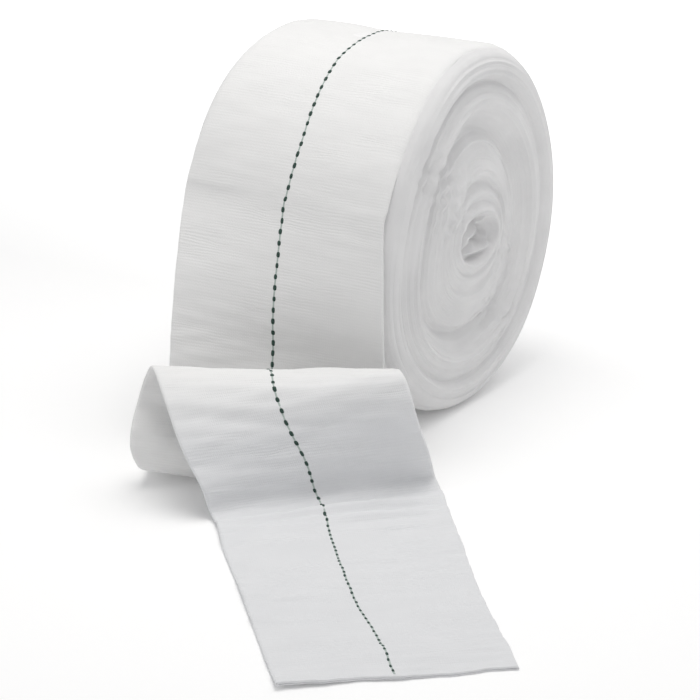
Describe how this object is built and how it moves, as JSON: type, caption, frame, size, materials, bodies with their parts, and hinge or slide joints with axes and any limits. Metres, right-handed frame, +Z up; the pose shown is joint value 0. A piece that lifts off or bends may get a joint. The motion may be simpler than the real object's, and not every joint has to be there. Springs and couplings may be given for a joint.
{
  "type": "tubular bandage roll",
  "caption": "Flat knitted cotton tube bandage wound into a roll, with its loose end folded once in front and laid out on the surface.",
  "frame": {"origin": "middle of the roll's flat spot, on the surface that the roll rests on", "axes": "+Z up, +X along the roll's axis towards its open-faced end, -Y towards the loose end"},
  "size_m": [0.1378, 0.2022, 0.0918],
  "materials": {
    "wound_knit": "matt cream-white knitted cotton and viscose, finely crinkled crosswise",
    "loose_knit": "matt cream-white knitted tube pressed flat, with one dashed dark green marker yarn"
  },
  "bodies": {
    "root": {"roll": "wound_knit", "loose_end": "loose_knit"}
  },
  "joints": []
}
